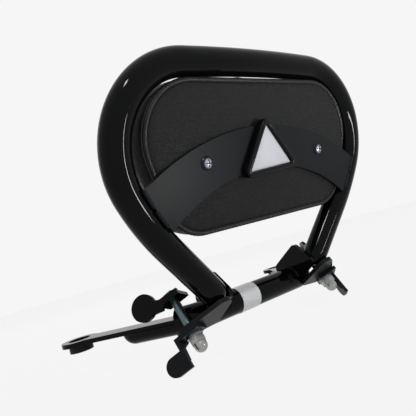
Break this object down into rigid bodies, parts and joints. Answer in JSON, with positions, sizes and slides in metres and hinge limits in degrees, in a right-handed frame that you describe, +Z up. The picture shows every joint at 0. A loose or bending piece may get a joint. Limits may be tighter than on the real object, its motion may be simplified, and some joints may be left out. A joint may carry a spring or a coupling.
{
  "type": "scooter backrest",
  "caption": "Backrest for a scooter's rear carrier: a bent tube loop with a padded cushion, on a base tube with fixing tongues and rail clamps.",
  "frame": {"origin": "midway between the axes of the two tongue bushes, in the plane of the bushes' undersides, where the backrest is bolted down", "axes": "+X from one tongue to the other, to the rider's right; +Y to the front of the scooter, the side that the pad faces; +Z up"},
  "size_m": [0.3304, 0.2218, 0.2611],
  "materials": {
    "black_enamel": "gloss",
    "pad_vinyl": "satin",
    "back_vinyl": "satin",
    "piping": "satin",
    "pad_board": "matte",
    "zinc": "satin",
    "nut_chrome": "gloss",
    "badge_frame": "gloss",
    "badge_face": "satin",
    "bush_rubber": "matte",
    "label": "satin"
  },
  "bodies": {
    "backrest": {"loop_tube": "black_enamel", "base_tube": "black_enamel", "cross_plate": "black_enamel", "pad_cushion": "pad_vinyl", "pad_board": "pad_board", "pad_back_cover": "back_vinyl", "pad_piping": "piping", "pad_inserts": "zinc", "pad_screws": "zinc", "badge_frame": "badge_frame", "badge_face": "badge_face", "tongue_left": "black_enamel", "tongue_right": "black_enamel", "tongue_bush_left": "bush_rubber", "tongue_bush_right": "bush_rubber", "mount_plate_left": "black_enamel", "mount_plate_right": "black_enamel", "cheek_left": "black_enamel", "cheek_right": "black_enamel", "clamp_bolt_left": "zinc", "clamp_bolt_right": "zinc", "acorn_nut_left": "nut_chrome", "acorn_nut_right": "nut_chrome", "clamp_washers": "zinc", "tube_label": "label"},
    "upper_hook_left": {"upper_hook_left": "black_enamel"},
    "lower_hook_left": {"lower_hook_left": "black_enamel"},
    "upper_hook_right": {"upper_hook_right": "black_enamel"},
    "lower_hook_right": {"lower_hook_right": "black_enamel"}
  },
  "joints": [
    {"name": "upper_hook_left_swivel", "type": "hinge", "parent": "backrest", "child": "upper_hook_left", "pos_m": [-0.093, -0.12104, 0.008], "axis": [0, 0.5, 0.866], "range_deg": [-15, 15]},
    {"name": "lower_hook_left_swivel", "type": "hinge", "parent": "backrest", "child": "lower_hook_left", "pos_m": [-0.093, -0.12104, 0.008], "axis": [0, 0.5, 0.866], "range_deg": [-20, 20]},
    {"name": "upper_hook_right_swivel", "type": "hinge", "parent": "backrest", "child": "upper_hook_right", "pos_m": [0.093, -0.12104, 0.008], "axis": [0, 0.5, 0.866], "range_deg": [-15, 15]},
    {"name": "lower_hook_right_swivel", "type": "hinge", "parent": "backrest", "child": "lower_hook_right", "pos_m": [0.093, -0.12104, 0.008], "axis": [0, 0.5, 0.866], "range_deg": [-20, 20]}
  ]
}
